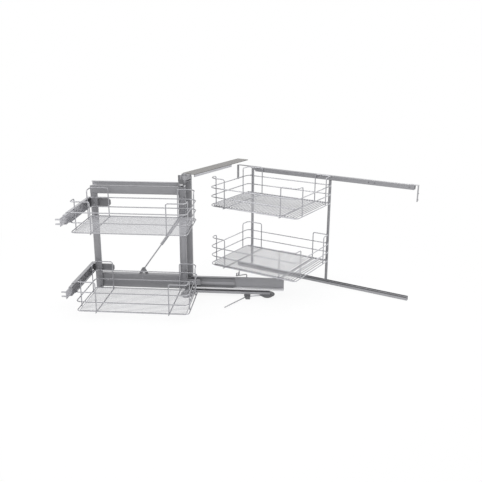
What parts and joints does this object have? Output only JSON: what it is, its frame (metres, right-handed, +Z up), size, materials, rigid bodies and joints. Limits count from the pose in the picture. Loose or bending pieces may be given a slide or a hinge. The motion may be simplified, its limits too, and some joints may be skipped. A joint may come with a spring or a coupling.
{
  "type": "blind corner pull out",
  "caption": "Pull-out fitting for a blind corner cabinet: a swinging frame of wire baskets on a telescopic slide, and a rear frame of wire baskets that runs sideways on rails.",
  "frame": {"origin": "swing axis of the front frame where it meets the cabinet floor", "axes": "+X along the rear rails, away from the pivot; +Y into the cabinet; +Z up"},
  "size_m": [1.3577, 1.0758, 0.602],
  "materials": {
    "zinc_steel": "zinc plated sheet",
    "frame_silver": "satin silver powder coat",
    "dark_coat": "satin dark grey coat",
    "chrome_wire": "chromed wire",
    "rail_grey": "satin warm grey coat",
    "slide_steel": "bright zinc rolled steel",
    "white_plastic": "moulded acetal",
    "dark_plastic": "moulded nylon",
    "strut_grey": "satin grey tube",
    "warm_zinc": "warm grey coat"
  },
  "bodies": {
    "cabinet_fixings": {"floor_pivot_base": "zinc_steel", "top_mounting_plate": "warm_zinc", "top_pivot_bracket": "dark_coat", "top_pivot_bolt": "zinc_steel", "rear_top_rail": "rail_grey", "rear_bottom_rail": "rail_grey", "rear_left_bracket": "rail_grey", "rear_right_bracket": "rail_grey", "bracket_rivets": "zinc_steel"},
    "swing_arm": {"turntable": "dark_plastic", "base_plate": "zinc_steel", "pivot_column": "dark_coat", "carrier_rail": "dark_coat", "slide_outer_member": "slide_steel", "glide_foot": "dark_plastic", "guide_block": "dark_plastic", "control_rod": "zinc_steel", "catch_lever": "dark_coat", "head_bracket": "dark_coat", "head_bush": "zinc_steel", "roller_axle": "zinc_steel", "strut_upper_stud": "zinc_steel"},
    "roller": {"guide_roller": "dark_plastic"},
    "slide_middle": {"slide_middle_member": "slide_steel", "ball_cages": "dark_plastic"},
    "front_frame": {"frame_guide_channel": "frame_silver", "channel_end_stop": "white_plastic", "frame_top_rail": "frame_silver", "frame_left_post": "frame_silver", "frame_right_post": "frame_silver", "frame_bottom_channel": "frame_silver", "slide_inner_member": "slide_steel", "strut_lower_bracket": "dark_coat", "arm_brackets": "dark_coat", "upper_arm_outer": "slide_steel", "lower_arm_outer": "slide_steel", "front_upper_basket_sides": "chrome_wire", "front_upper_basket_floor": "chrome_wire", "front_lower_basket_sides": "chrome_wire", "front_lower_basket_floor": "chrome_wire", "front_basket_hooks": "zinc_steel", "frame_screws": "zinc_steel"},
    "upper_arm": {"upper_arm_inner": "slide_steel", "upper_door_plate": "dark_coat"},
    "lower_arm": {"lower_arm_inner": "slide_steel", "lower_door_plate": "dark_coat"},
    "strut_lower_part": {"strut_rod": "zinc_steel"},
    "strut_upper_part": {"strut_cylinder": "strut_grey"},
    "rear_frame": {"rear_left_post": "rail_grey", "rear_right_post": "rail_grey", "rear_top_runner": "rail_grey", "rear_bottom_runner": "rail_grey", "top_glides": "white_plastic", "bottom_glides": "dark_plastic", "rear_upper_basket_sides": "chrome_wire", "rear_upper_basket_floor": "chrome_wire", "rear_lower_basket_sides": "chrome_wire", "rear_lower_basket_floor": "chrome_wire", "rear_basket_clips": "zinc_steel", "rear_basket_catch": "chrome_wire"}
  },
  "joints": [
    {"name": "swing", "type": "hinge", "parent": "cabinet_fixings", "child": "swing_arm", "pos_m": [0, 0, 0], "axis": [0, 0, 1], "range_deg": [0, 62.5]},
    {"name": "push_in", "type": "slide", "parent": "swing_arm", "child": "front_frame", "axis": [0.887, 0.4617, 0], "range_m": [0, 0.405]},
    {"name": "slide_middle_run", "type": "slide", "parent": "swing_arm", "child": "slide_middle", "axis": [0.887, 0.4617, 0], "range_m": [0, 0.2375]},
    {"name": "roller_spin", "type": "hinge", "parent": "swing_arm", "child": "roller", "pos_m": [-0.01242, -0.00646, 0.549], "axis": [0.4617, -0.887, 0], "continuous": true},
    {"name": "strut_turn", "type": "hinge", "parent": "front_frame", "child": "strut_lower_part", "pos_m": [-0.20001, -0.07706, 0.122], "axis": [0.4617, -0.887, 0], "range_deg": [0, 67.38]},
    {"name": "strut_stroke", "type": "slide", "parent": "strut_lower_part", "child": "strut_upper_part", "axis": [-0.5162, -0.2687, -0.8132], "range_m": [0, 0.0185]},
    {"name": "upper_arm_run", "type": "slide", "parent": "front_frame", "child": "upper_arm", "axis": [0.4617, -0.887, 0], "range_m": [-0.03, 0.15]},
    {"name": "lower_arm_run", "type": "slide", "parent": "front_frame", "child": "lower_arm", "axis": [0.4617, -0.887, 0], "range_m": [-0.03, 0.15]},
    {"name": "rear_run", "type": "slide", "parent": "cabinet_fixings", "child": "rear_frame", "axis": [1, 0, 0], "range_m": [0, 0.409]}
  ],
  "couplings": [
    {"joint": "slide_middle_run", "follows": "push_in", "ratio": 0.58518},
    {"joint": "strut_turn", "follows": "push_in", "rad_per_m": 2.8823},
    {"joint": "strut_stroke", "follows": "push_in", "ratio": 0.044935},
    {"joint": "lower_arm_run", "follows": "upper_arm_run", "ratio": 1},
    {"joint": "rear_run", "follows": "push_in", "ratio": 1.0074}
  ]
}
